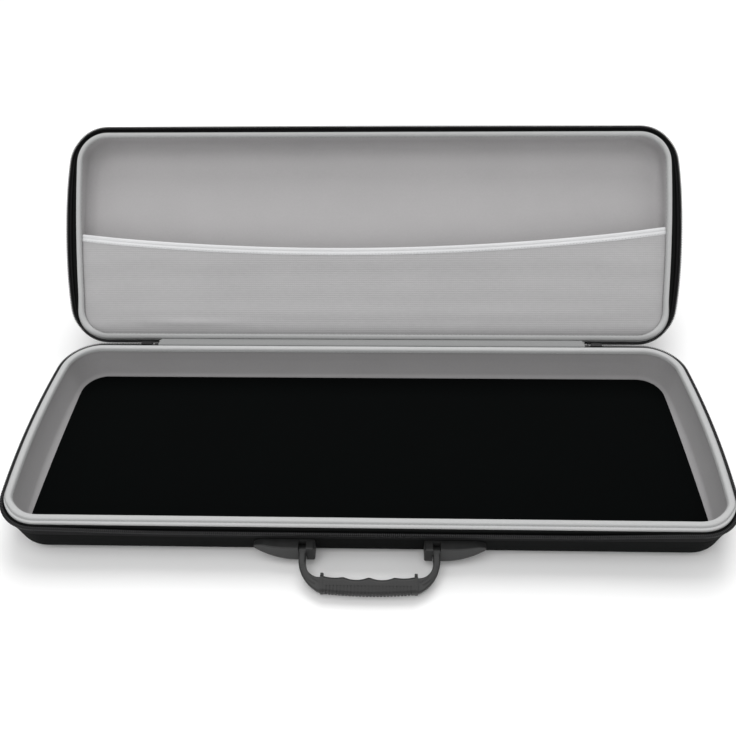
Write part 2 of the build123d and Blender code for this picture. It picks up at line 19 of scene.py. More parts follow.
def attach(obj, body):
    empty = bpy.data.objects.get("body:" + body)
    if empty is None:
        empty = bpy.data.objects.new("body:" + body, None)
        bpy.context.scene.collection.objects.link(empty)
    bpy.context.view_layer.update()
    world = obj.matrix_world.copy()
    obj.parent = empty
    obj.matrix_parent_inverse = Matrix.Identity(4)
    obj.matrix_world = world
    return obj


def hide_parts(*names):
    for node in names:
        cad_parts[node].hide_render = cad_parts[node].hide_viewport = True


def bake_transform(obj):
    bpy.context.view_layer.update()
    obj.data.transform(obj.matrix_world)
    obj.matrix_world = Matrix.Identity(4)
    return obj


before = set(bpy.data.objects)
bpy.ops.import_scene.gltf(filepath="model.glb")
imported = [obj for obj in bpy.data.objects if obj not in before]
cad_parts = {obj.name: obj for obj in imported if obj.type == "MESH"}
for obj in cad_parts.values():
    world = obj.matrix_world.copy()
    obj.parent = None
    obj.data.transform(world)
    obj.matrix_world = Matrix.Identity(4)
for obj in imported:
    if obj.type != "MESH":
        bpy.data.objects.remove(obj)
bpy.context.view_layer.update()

log = logging.getLogger("carry_case")
MM = 0.001
Point2 = tuple[float, float]
Point3 = tuple[float, float, float]
Colour = tuple[float, float, float]
Node = bpy.types.Node
Piece = bpy.types.Object

BASE_HEIGHT = 46.0 * MM
LID_HEIGHT = 35.0 * MM
HINGE_Y = 115.4 * MM
HINGE_Z = 40.7 * MM
HINGE_BELOW_RIM = 5.3 * MM
OPEN_ANGLE = math.radians(133.2)


# Finishes


class Graph:
    """Node graph of one material, with short ways to add and join nodes."""

    def __init__(self, name: str) -> None:
        """Start an empty material that ends in a Principled shader."""
        self.material = bpy.data.materials.new(name)
        self.material.use_nodes = True
        self.tree = self.material.node_tree
        self.tree.nodes.clear()
        self.output = self.tree.nodes.new("ShaderNodeOutputMaterial")
        self.shader = self.tree.nodes.new("ShaderNodeBsdfPrincipled")
        self.join(self.shader, "BSDF", self.output, "Surface")

    def add(self, kind: str, **settings: object) -> Node:
        """Add a node and set its plain properties.

        Args:
            kind: Blender's class name of the node.
            **settings: properties of the node by name.

        Returns:
            The new node.
        """
        node = self.tree.nodes.new(kind)
        for key, value in settings.items():
            setattr(node, key, value)
        return node

    def join(self, source: Node, out: str | int, target: Node, into: str | int) -> None:
        """Link one node's output to another node's input."""
        self.tree.links.new(source.outputs[out], target.inputs[into])

    def place(self, size: float, tilt: float = 0.0) -> Node:
        """Object coordinates, turned about X and counted in repeats of a size.

        Args:
            size: length of one repeat, in metres.
            tilt: turn about X, in radians, that lays the pattern along a tilted piece.

        Returns:
            The Mapping node that gives the vector.
        """
        coordinates = self.add("ShaderNodeTexCoord")
        turn = self.add("ShaderNodeMapping", vector_type="POINT")
        turn.inputs["Rotation"].default_value = (tilt, 0.0, 0.0)
        self.join(coordinates, "Object", turn, "Vector")
        scale = self.add("ShaderNodeVectorMath", operation="SCALE")
        scale.inputs["Scale"].default_value = 1.0 / size
        self.join(turn, 0, scale, 0)
        return scale

    def noise(self, size: float, detail: float = 2.0, tilt: float = 0.0, stretch: float = 1.0) -> Node:
        """Noise with features of about a size, drawn out along X where stretch is above 1."""
        vector = self.place(size, tilt)
        squeeze = self.add("ShaderNodeMapping", vector_type="POINT")
        squeeze.inputs["Scale"].default_value = (1.0 / stretch, 1.0, 1.0)
        self.join(vector, 0, squeeze, "Vector")
        texture = self.add("ShaderNodeTexNoise", noise_dimensions="3D")
        texture.inputs["Scale"].default_value = 1.0
        texture.inputs["Detail"].default_value = detail
        self.join(squeeze, 0, texture, "Vector")
        return texture

    def maths(self, operation: str, first: Node, second: Node | float) -> Node:
        """Join two values, or a value and a number, in a Math node."""
        node = self.add("ShaderNodeMath", operation=operation)
        self.join(first, 0, node, 0)
        if isinstance(second, (int, float)):
            node.inputs[1].default_value = second
        else:
            self.join(second, 0, node, 1)
        return node

    def ramp(self, source: Node, low: Colour, high: Colour, start: float, stop: float) -> Node:
        """Turn a value into a colour between two colours."""
        node = self.add("ShaderNodeValToRGB")
        node.color_ramp.elements[0].position = start
        node.color_ramp.elements[0].color = (*low, 1.0)
        node.color_ramp.elements[1].position = stop
        node.color_ramp.elements[1].color = (*high, 1.0)
        self.join(source, 0, node, "Fac")
        return node

    def bump(self, height: Node, depth: float, before: Node | None = None) -> Node:
        """Bump of a real depth, in metres, laid over an earlier bump if there is one."""
        node = self.add("ShaderNodeBump")
        node.inputs["Strength"].default_value = 1.0
        node.inputs["Distance"].default_value = depth
        self.join(height, 0, node, "Height")
        if before is not None:
            self.join(before, "Normal", node, "Normal")
        return node

    def axes(self, operation: str, split: Node, first: str, second: str) -> Node:
        """Join two axes of a split vector in a Math node."""
        node = self.add("ShaderNodeMath", operation=operation)
        self.join(split, first, node, 0)
        self.join(split, second, node, 1)
        return node

    def roughen(self, source: Node, low: float, high: float) -> None:
        """Let a value from 0 to 1 set the roughness between two limits."""
        node = self.add("ShaderNodeMapRange")
        node.inputs["To Min"].default_value = low
        node.inputs["To Max"].default_value = high
        self.join(source, 0, node, "Value")
        self.join(node, 0, self.shader, "Roughness")


def shaded(colour: Colour, factor: float) -> Colour:
    """Colour made lighter or darker by a factor."""
    return tuple(min(1.0, channel * factor) for channel in colour)


class Knit(Enum):
    """How the threads of a cloth run."""

    PLAIN_WEAVE = "plain weave"
    RIBBED_KNIT = "ribbed knit"
    PILE = "short pile"


@dataclass(frozen=True)
class ClothFinish:
    """Cloth with threads, heather, soft blotches and sheen, and painted shade that darkens it down by the
    hinge.
    """

    name: str
    colour: Colour
    knit: Knit = Knit.PLAIN_WEAVE
    thread: float = 0.9 * MM
    relief: float = 0.12 * MM
    heather: float = 0.12
    blotch: float = 0.05
    roughness: float = 0.9
    sheen: float = 0.25
    specular: float = 0.25
    # painted shade: colour factor down by the hinge, where the cloth lies in shade
    painted_hinge_shade: float = 1.0
    painted_shade_rise: Point2 = (40.0 * MM, 51.0 * MM)

    def material(self, tilt: float = 0.0) -> bpy.types.Material:
        """Build the material.

        Args:
            tilt: turn about X, in radians, of the piece that wears it.

        Returns:
            The finished material.
        """
        graph = Graph(f"{self.name}_{round(math.degrees(tilt))}")
        threads = self._threads(graph, tilt)
        fibres = graph.noise(self.thread * 1.7, 3.0, tilt, 1.6)
        clouds = graph.noise(45.0 * MM, 2.0, tilt)
        tone = graph.maths("MULTIPLY", threads, self.heather)
        tone = graph.maths("ADD", tone, graph.maths("MULTIPLY", fibres, self.heather))
        tone = graph.maths("ADD", tone, graph.maths("MULTIPLY", clouds, self.blotch))
        spread = 2 * self.heather + self.blotch
        tint = graph.ramp(tone, shaded(self.colour, 1 - spread), shaded(self.colour, 1 + spread), 0.0, spread)
        painted_shade_tint = graph.add("ShaderNodeVectorMath", operation="SCALE")
        graph.join(tint, "Color", painted_shade_tint, 0)
        # painted shade darkens the colour low down by the hinge
        graph.join(self._painted_hinge_shade(graph), 0, painted_shade_tint, "Scale")
        graph.join(painted_shade_tint, 0, graph.shader, "Base Color")
        graph.roughen(fibres, max(self.roughness - 0.08, 0.0), min(self.roughness + 0.06, 1.0))
        weave_bump = graph.bump(threads, self.relief)
        soft_bump = graph.bump(graph.noise(14.0 * MM, 2.0, tilt), self.relief, weave_bump)
        graph.join(soft_bump, "Normal", graph.shader, "Normal")
        graph.shader.inputs["Sheen Weight"].default_value = self.sheen
        graph.shader.inputs["Sheen Roughness"].default_value = 0.5
        graph.shader.inputs["Specular IOR Level"].default_value = self.specular
        return graph.material

    def _painted_hinge_shade(self, graph: Graph) -> Node:
        """Painted shade: factor that rises from the darkening at the hinge to 1, between the two heights of
        the rise.
        """
        split = graph.add("ShaderNodeSeparateXYZ")
        graph.join(graph.add("ShaderNodeTexCoord"), "Object", split, 0)
        rise = graph.add("ShaderNodeMapRange", interpolation_type="SMOOTHSTEP")
        rise.inputs["From Min"].default_value = self.painted_shade_rise[0]
        rise.inputs["From Max"].default_value = self.painted_shade_rise[1]
        rise.inputs["To Min"].default_value = self.painted_hinge_shade
        rise.inputs["To Max"].default_value = 1.0
        graph.join(split, "Z", rise, "Value")
        return rise

    def _threads(self, graph: Graph, tilt: float) -> Node:
        """Height of the threads, from 0 to 1."""
        if self.knit is Knit.PILE:
            return graph.noise(self.thread, 4.0, tilt)
        turns = graph.add("ShaderNodeVectorMath", operation="SCALE")
        turns.inputs["Scale"].default_value = 2 * math.pi
        graph.join(graph.place(self.thread, tilt), 0, turns, 0)
        wave = graph.add("ShaderNodeVectorMath", operation="SINE")
        graph.join(turns, 0, wave, 0)
        split = graph.add("ShaderNodeSeparateXYZ")
        graph.join(wave, 0, split, 0)
        across = graph.axes("MULTIPLY", split, "X", "Y")
        both = graph.maths("ADD", across, graph.axes("MULTIPLY", split, "X", "Z"))
        if self.knit is Knit.RIBBED_KNIT:
            rib = graph.axes("ADD", split, "Y", "Z")
            both = graph.maths("ADD", graph.maths("MULTIPLY", both, 0.35), rib)
        return graph.maths("ADD", graph.maths("MULTIPLY", both, 0.25), 0.5)


@dataclass(frozen=True)
class PlasticFinish:
    """Moulded plastic with a fine spark-eroded grain and slightly polished patches."""

    name: str
    colour: Colour
    roughness: float = 0.5
    grain: float = 0.35 * MM
    relief: float = 0.03 * MM
    specular: float = 0.45

    def material(self) -> bpy.types.Material:
        """Build the material."""
        graph = Graph(self.name)
        grain = graph.noise(self.grain, 3.0)
        patches = graph.noise(9.0 * MM, 2.0)
        tint = graph.ramp(patches, shaded(self.colour, 0.85), shaded(self.colour, 1.2), 0.3, 0.7)
        graph.join(tint, "Color", graph.shader, "Base Color")
        graph.roughen(patches, self.roughness - 0.07, self.roughness + 0.07)
        graph.join(graph.bump(grain, self.relief), "Normal", graph.shader, "Normal")
        graph.shader.inputs["Specular IOR Level"].default_value = self.specular
        return graph.material


@dataclass(frozen=True)
class MetalFinish:
    """Plated or lacquered metal with drawn-out scratches."""

    name: str
    colour: Colour
    metallic: float = 1.0
    roughness: float = 0.35
    coat: float = 0.0

    def material(self) -> bpy.types.Material:
        """Build the material."""
        graph = Graph(self.name)
        scratches = graph.noise(0.25 * MM, 2.0, 0.0, 12.0)
        tint = graph.ramp(scratches, shaded(self.colour, 0.82), shaded(self.colour, 1.12), 0.3, 0.7)
        graph.join(tint, "Color", graph.shader, "Base Color")
        graph.roughen(scratches, self.roughness - 0.1, self.roughness + 0.1)
        graph.join(graph.bump(scratches, 0.01 * MM), "Normal", graph.shader, "Normal")
        graph.shader.inputs["Metallic"].default_value = self.metallic
        graph.shader.inputs["Coat Weight"].default_value = self.coat
        return graph.material


SHELL_CLOTH = ClothFinish(
    "shell_cloth", (0.0052, 0.0056, 0.0056), thread=1.1 * MM, roughness=0.85, sheen=0.0, specular=0.05
)
LINING_CLOTH = ClothFinish(
    "lining_cloth", (0.345, 0.338, 0.342), thread=0.8 * MM, heather=0.05, blotch=0.03
)
# Painted light: the same lining cloth made lighter for the lid, standing in for light on the lid's inside.
LIGHTENED_LID_LINING_CLOTH = replace(LINING_CLOTH, name="lid_lining_cloth", colour=(0.42, 0.411, 0.415))
POCKET_CLOTH = ClothFinish(
    "pocket_cloth", (0.385, 0.381, 0.385), Knit.RIBBED_KNIT, 2.3 * MM, heather=0.05, blotch=0.03,
    # painted shade darkens the pocket towards the hinge
    painted_hinge_shade=0.66,
)
BINDING_CLOTH = ClothFinish(
    "binding_cloth", (0.432, 0.436, 0.436), thread=0.7 * MM, heather=0.06, blotch=0.02
)
# painted shade darkens the lid's binding along the hinge
LID_BINDING_CLOTH = replace(BINDING_CLOTH, name="lid_binding_cloth", painted_hinge_shade=0.62)
ELASTIC_CLOTH = ClothFinish("elastic_cloth", (0.64, 0.644, 0.652), Knit.RIBBED_KNIT, 1.0 * MM, heather=0.04)
TAPE_CLOTH = ClothFinish(
    "tape_cloth", (0.009, 0.009, 0.0095), Knit.RIBBED_KNIT, 1.2 * MM, 0.15 * MM, sheen=0.0, specular=0.15
)
PAD_CLOTH = ClothFinish(
    "pad_cloth", (0.001, 0.0014, 0.0014), Knit.PILE, 0.7 * MM, 0.1 * MM, sheen=0.0, specular=0.04
)
THREAD_LIGHT = ClothFinish("thread_light", (0.34, 0.345, 0.345), Knit.PILE, 0.3 * MM, 0.02 * MM)
THREAD_DARK = ClothFinish("thread_dark", (0.01, 0.0105, 0.0105), Knit.PILE, 0.3 * MM, 0.02 * MM, sheen=0.0)
# Painted shade: a darker copy of the binding cloth, for the inner hinge strip that lies in shade.
SHADED_SEAM_CLOTH = replace(BINDING_CLOTH, name="seam_cloth", colour=(0.215, 0.218, 0.218))
COIL_PLASTIC = PlasticFinish("coil_plastic", (0.006, 0.006, 0.0065), 0.42, 0.5 * MM, specular=0.3)
ARCH_PLASTIC = PlasticFinish("arch_plastic", (0.011, 0.0114, 0.0114), 0.5)
GRIP_PLASTIC = PlasticFinish("grip_plastic", (0.0105, 0.0105, 0.0105), 0.55)
BRACKET_PLASTIC = PlasticFinish("bracket_plastic", (0.0155, 0.016, 0.016), 0.55)
SLIDER_METAL = MetalFinish("slider_metal", (0.012, 0.012, 0.0125), 0.6, 0.4, 0.2)
ZINC_PLATE = MetalFinish("zinc_plate", (0.5, 0.5, 0.51), 1.0, 0.34)


# Workbench: the hand tools that the pieces are made with


class Bench:
    """Modelling steps that every sub-assembly uses."""

    @staticmethod
    def clear() -> None:
        """Leave edit mode and deselect everything."""
        if bpy.context.object is not None and bpy.context.object.mode != "OBJECT":
            bpy.ops.object.mode_set(mode="OBJECT")
        bpy.ops.object.select_all(action="DESELECT")

    @staticmethod
    def pick(obj: Piece) -> None:
        """Make one object the only selected one and the active one."""
        Bench.clear()
        obj.select_set(True)
        bpy.context.view_layer.objects.active = obj

    @staticmethod
    def named(name: str) -> Piece:
        """Name the object that was just added."""
        obj = bpy.context.object
        obj.name = name
        obj.data.name = name
        return obj

    @staticmethod
    def select_faces(obj: Piece, wanted: Callable[[bmesh.types.BMFace], bool]) -> None:
        """Select faces in edit mode by a test on each."""
        mesh = bmesh.from_edit_mesh(obj.data)
        for face in mesh.faces:
            face.select_set(False)
        for face in mesh.faces:
            if wanted(face):
                face.select_set(True)
        mesh.select_flush_mode()
        bmesh.update_edit_mesh(obj.data)

    @staticmethod
    def apply(obj: Piece) -> None:
        """Apply every modifier of an object, in order."""
        Bench.pick(obj)
        for modifier in list(obj.modifiers):
            bpy.ops.object.modifier_apply(modifier=modifier.name)

    @staticmethod
    def solidify(obj: Piece, thickness: float, offset: float = -1.0) -> None:
        """Give a surface its thickness."""
        modifier = obj.modifiers.new("thickness", "SOLIDIFY")
        modifier.thickness = thickness
        modifier.offset = offset
        modifier.use_even_offset = True
        Bench.apply(obj)

    @staticmethod
    def smooth(obj: Piece, angle: float = 40.0) -> None:
        """Shade smooth up to an angle in degrees."""
        Bench.pick(obj)
        bpy.ops.object.shade_smooth_by_angle(angle=math.radians(angle))

    @staticmethod
    def edit(obj: Piece) -> None:
        """Enter edit mode with everything selected."""
        Bench.pick(obj)
        bpy.ops.object.mode_set(mode="EDIT")
        bpy.ops.mesh.select_all(action="SELECT")

    @staticmethod
    def outward(obj: Piece) -> None:
        """Merge doubles and point the faces of a closed piece outwards."""
        Bench.edit(obj)
        bpy.ops.mesh.remove_doubles(threshold=0.002 * MM)
        bpy.ops.mesh.normals_make_consistent(inside=False)
        bpy.ops.object.mode_set(mode="OBJECT")

    @staticmethod
    def path(name: str, points: Sequence[Sequence[float]], closed: bool) -> Piece:
        """Straight-run curve through points, kept level so that what follows it doesn't twist."""
        data = bpy.data.curves.new(name, "CURVE")
        data.dimensions = "3D"
        data.twist_mode = "Z_UP"
        spline = data.splines.new("POLY")
        spline.points.add(len(points) - 1)
        for knot, point in zip(spline.points, points):
            knot.co = (*point, 1.0) if len(point) == 3 else (*point, 0.0, 1.0)
        spline.use_cyclic_u = closed
        obj = bpy.data.objects.new(name, data)
        bpy.context.scene.collection.objects.link(obj)
        return obj

    @staticmethod
    def sweep(
        name: str, points: Sequence[Sequence[float]], section: Sequence[Point2], closed: bool = False
    ) -> Piece:
        """Sweep a closed section along a path and make the result a mesh.

        Args:
            name: name of the new piece.
            points: path to follow.
            section: points of the section in millimetres, X to the right of the way, Y up.
            closed: whether the path runs round.

        Returns:
            The swept mesh.
        """
        run = Bench.path("run", points, closed)
        outline = Bench.path(f"{name}_section", [(x * MM, y * MM) for x, y in section], True)
        outline.data.dimensions = "2D"
        run.data.bevel_mode = "OBJECT"
        run.data.bevel_object = outline
        run.data.use_fill_caps = not closed
        Bench.pick(run)
        bpy.ops.object.convert(target="MESH")
        piece = Bench.named(name)
        bpy.data.objects.remove(outline)
        Bench.outward(piece)
        return piece

    @staticmethod
    def repeat(
        name: str, unit: Piece, points: Sequence[Sequence[float]], pitch: float, closed: bool = False
    ) -> Piece:
        """Lay copies of a small piece along a path; a closed path is shared out evenly.

        Args:
            name: name of the finished row.
            unit: piece modelled at the origin, along X.
            points: path to follow.
            pitch: distance between copies, in metres.
            closed: whether the path runs round.

        Returns:
            The unit, now a mesh that holds every copy.
        """
        length = run_length(points, closed)
        count = round(length / pitch) if closed else int(length / pitch)
        run = Bench.path("run", points, closed)
        row = unit.modifiers.new("row", "ARRAY")
        row.use_relative_offset = False
        row.use_constant_offset = True
        row.constant_offset_displace = (length / count if closed else pitch, 0.0, 0.0)
        row.count = count
        bend = unit.modifiers.new("bend", "CURVE")
        bend.object = run
        bend.deform_axis = "POS_X"
        Bench.apply(unit)
        bpy.data.objects.remove(run)
        unit.name = name
        return unit

    @staticmethod
    def stitch(length: float, thickness: float) -> Piece:
        """One stitch: a short strand that tapers at both ends."""
        lying = (0, math.pi / 2, 0)
        bpy.ops.mesh.primitive_uv_sphere_add(segments=6, ring_count=5, radius=1.0, rotation=lying)
        unit = Bench.named("stitch")
        bpy.ops.object.transform_apply(rotation=True)
        for vertex in unit.data.vertices:
            vertex.co.x *= length / 2
            vertex.co.y *= thickness / 2
            vertex.co.z *= thickness / 2
        return unit

    @staticmethod
    def wear(obj: Piece, material: bpy.types.Material) -> None:
        """Dress an object in one material."""
        obj.data.materials.clear()
        obj.data.materials.append(material)

    @staticmethod
    def place(obj: Piece, matrix: Matrix) -> None:
        """Move a piece from its local frame into the row frame, in its mesh."""
        obj.data.transform(matrix @ obj.matrix_world)
        obj.matrix_world = Matrix.Identity(4)
        obj.data.update()

    @staticmethod
    def hand_over(
        obj: Piece, body: str, slot: str, stands_for: Iterable[str] = (), smooth_angle: float = 40.0
    ) -> Piece:
        """Shade a finished piece, hang it on its body and hide the CAD nodes that it stands for.

        Args:
            obj: the finished piece, in the row frame.
            body: CAD body that it rides on.
            slot: not used.
            stands_for: CAD nodes that it replaces.
            smooth_angle: angle up to which it is shaded smooth, in degrees.

        Returns:
            The same piece.
        """
        Bench.smooth(obj, smooth_angle)
        if body:
            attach(obj, body)
        if stands_for:
            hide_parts(*stands_for)
        log.info("%s: %d faces on %s", obj.name, len(obj.data.polygons), body or "two bodies")
        return obj


# Plan of the case


@dataclass(frozen=True)
class CasePlan:
    """Plan that both halves share, measured over the zip: straight long sides, bowed short ones."""

    width: float = 641.0 * MM
    depth: float = 227.0 * MM
    side_bow: float = 8.0 * MM
    corner_radius: float = 39.0 * MM
    zip_end: float = 225.0 * MM
    long_steps: int = 72
    corner_steps: int = 14
    side_steps: int = 26

    @property
    def half_depth(self) -> float:
        """Half of the depth."""
        return self.depth / 2

    @property
    def bow_radius(self) -> float:
        """Radius of the bowed short sides."""
        return (self.half_depth**2 + self.side_bow**2) / (2 * self.side_bow)

    @property
    def bow_centre(self) -> float:
        """X of the right side's centre of bow."""
        return self.width / 2 - self.bow_radius

    @property
    def corner_y(self) -> float:
        """Y of the back corners' centres."""
        return self.half_depth - self.corner_radius

    @property
    def corner_turn(self) -> float:
        """Angle at which a corner meets its bowed side."""
        return math.asin(self.corner_y / (self.bow_radius - self.corner_radius))

    @property
    def corner_x(self) -> float:
        """X of the right corners' centres."""
        return self.bow_centre + (self.bow_radius - self.corner_radius) * math.cos(self.corner_turn)

    def half_width(self, y: float, inset: float) -> float:
        """Half of the width at a distance from the middle, for an outline at an inset."""
        reach = abs(y)
        limit = (self.bow_radius - inset) * math.sin(self.corner_turn)
        if reach <= limit:
            return self.bow_centre + math.sqrt((self.bow_radius - inset) ** 2 - reach**2)
        rise = min(reach - self.corner_y, self.corner_radius - inset)
        return self.corner_x + math.sqrt(max((self.corner_radius - inset) ** 2 - rise**2, 0.0))

    def _arc(self, centre: Point2, radius: float, start: float, stop: float, steps: int) -> list[Point2]:
        """Points of an arc, without its last one."""
        turns = [start + (stop - start) * step / steps for step in range(steps)]
        return [(centre[0] + radius * math.cos(turn), centre[1] + radius * math.sin(turn)) for turn in turns]

    def _line(self, start: Point2, stop: Point2, steps: int) -> list[Point2]:
        """Points of a line, without its last one."""
        shares = [step / steps for step in range(steps)]
        return [(start[0] + (stop[0] - start[0]) * s, start[1] + (stop[1] - start[1]) * s) for s in shares]

    def _front(self, inset: float) -> list[Point2]:
        """Left side, front and right side, from the left end of the back to its right end."""
        edge, radius, turn = self.half_depth - inset, self.corner_radius - inset, self.corner_turn
        x, y, bow = self.corner_x, self.corner_y, self.bow_radius - inset
        quarter, half = math.pi / 2, math.pi
        return [
            *self._arc((-x, y), radius, quarter, half - turn, self.corner_steps),
            *self._arc((-self.bow_centre, 0.0), bow, half - turn, half + turn, self.side_steps),
            *self._arc((-x, -y), radius, half + turn, half + quarter, self.corner_steps),
            *self._line((-x, -edge), (x, -edge), self.long_steps),
            *self._arc((x, -y), radius, -quarter, -turn, self.corner_steps),
            *self._arc((self.bow_centre, 0.0), bow, -turn, turn, self.side_steps),
            *self._arc((x, y), radius, turn, quarter, self.corner_steps),
        ]

    def outline(self, inset: float) -> list[Point2]:
        """Closed outline, counter-clockwise, starting at the left end of the back."""
        edge = self.half_depth - inset
        back = self._line((self.corner_x, edge), (-self.corner_x, edge), self.long_steps)
        return [*self._front(inset), *back]

    def swell(self, point: Vector, far: float, side: float) -> Vector:
        """How far the loose edge of the zip stands out at a point: most in the middle of each side.

        Args:
            point: point near the rim, in the half's frame.
            far: stand-out in the middle of the long side away from the hinge.
            side: stand-out in the middle of the short sides.

        Returns:
            The shift, away from the case.
        """
        across = along = 0.0
        if point.y < -self.corner_y:
            across = max(0.0, 1 - (point.x / (self.width * 0.44)) ** 2) ** 1.5
        if abs(point.x) > self.corner_x:
            along = max(0.0, 1 - (point.y / (self.half_depth * 0.86)) ** 4)
        return Vector((math.copysign(side * along, point.x), -far * across, 0.0))

    def inset_at(self, x: float, y: float) -> tuple[float, Vector]:
        """Distance of a point from the outline, and the direction that leads inwards from it."""
        reach_x, reach_y = abs(x), abs(y)
        if reach_x > self.corner_x and reach_y > self.corner_y:
            away = Vector((reach_x - self.corner_x, reach_y - self.corner_y, 0.0))
            inward = -away.normalized()
            inset = self.corner_radius - away.length
        elif self.half_depth - reach_y < self.half_width(y, 0.0) - reach_x:
            inward, inset = Vector((0.0, -1.0, 0.0)), self.half_depth - reach_y
        else:
            inward, inset = Vector((-1.0, 0.0, 0.0)), self.half_width(y, 0.0) - reach_x
        side_x, side_y = math.copysign(inward.x, inward.x * x), math.copysign(inward.y, inward.y * y)
        return inset, Vector((side_x, side_y, 0.0))

    def front_share(self, point: Vector) -> float:
        """Share from 0 at the corners to 1 in the middle part of the long side away from the hinge."""
        if point.y > -self.corner_y:
            return 0.0
        return 1 - ease(abs(point.x), 165.0 * MM, 300.0 * MM)

    def zip_run(self, inset: float) -> list[Point2]:
        """Open outline from one end of the zip round the front to the other."""
        edge = self.half_depth - inset
        stub = self._line((-self.zip_end, edge), (-self.corner_x, edge), self.long_steps // 8)
        tail = self._line((self.corner_x, edge), (self.zip_end, edge), self.long_steps // 8)
        return [*stub, *self._front(inset), *tail, (self.zip_end, edge)]

    def disc(self, name: str, inset: float, depth: float) -> Piece:
        """Flat face inside the outline at an inset, at a depth."""
        outline = self.outline(inset)
        bpy.ops.mesh.primitive_circle_add(
            vertices=len(outline), radius=self.half_depth, fill_type="NGON"
        )
        piece = Bench.named(name)
        for vertex, point in zip(piece.data.vertices, outline):
            vertex.co = (*point, depth)
        piece.data.update()
        return piece

    def cut_grid(self, piece: Piece, level: float, pitch: float) -> None:
        """Cut the flat face at a level into a square grid, in edit mode."""
        for axis, reach in (((1.0, 0.0, 0.0), self.width / 2), ((0.0, 1.0, 0.0), self.half_depth)):
            direction = Vector(axis)
            steps = int(reach / pitch)
            for step in range(-steps, steps + 1):
                Bench.select_faces(piece, lambda face: abs(face.calc_center_median().z - level) < 1e-6)
                bpy.ops.mesh.bisect(plane_co=direction * (step * pitch), plane_no=direction)


PLAN = CasePlan()


def ease(value: float, start: float, stop: float) -> float:
    """Smooth share from 0 at a start to 1 at a stop."""
    share = min(max((value - start) / (stop - start), 0.0), 1.0)
    return share * share * (3 - 2 * share)


def bell(value: float, middle: float, width: float) -> float:
    """Share that is 1 at a middle and falls off smoothly on both sides."""
    return math.exp(-(((value - middle) / width) ** 2))


def run_length(points: Sequence[Sequence[float]], closed: bool) -> float:
    """Length of a path through points."""
    ends = [*points[1:], points[0]] if closed else points[1:]
    return sum(math.dist(start, stop) for start, stop in zip(points, ends))


# One half: lining, binding, zip


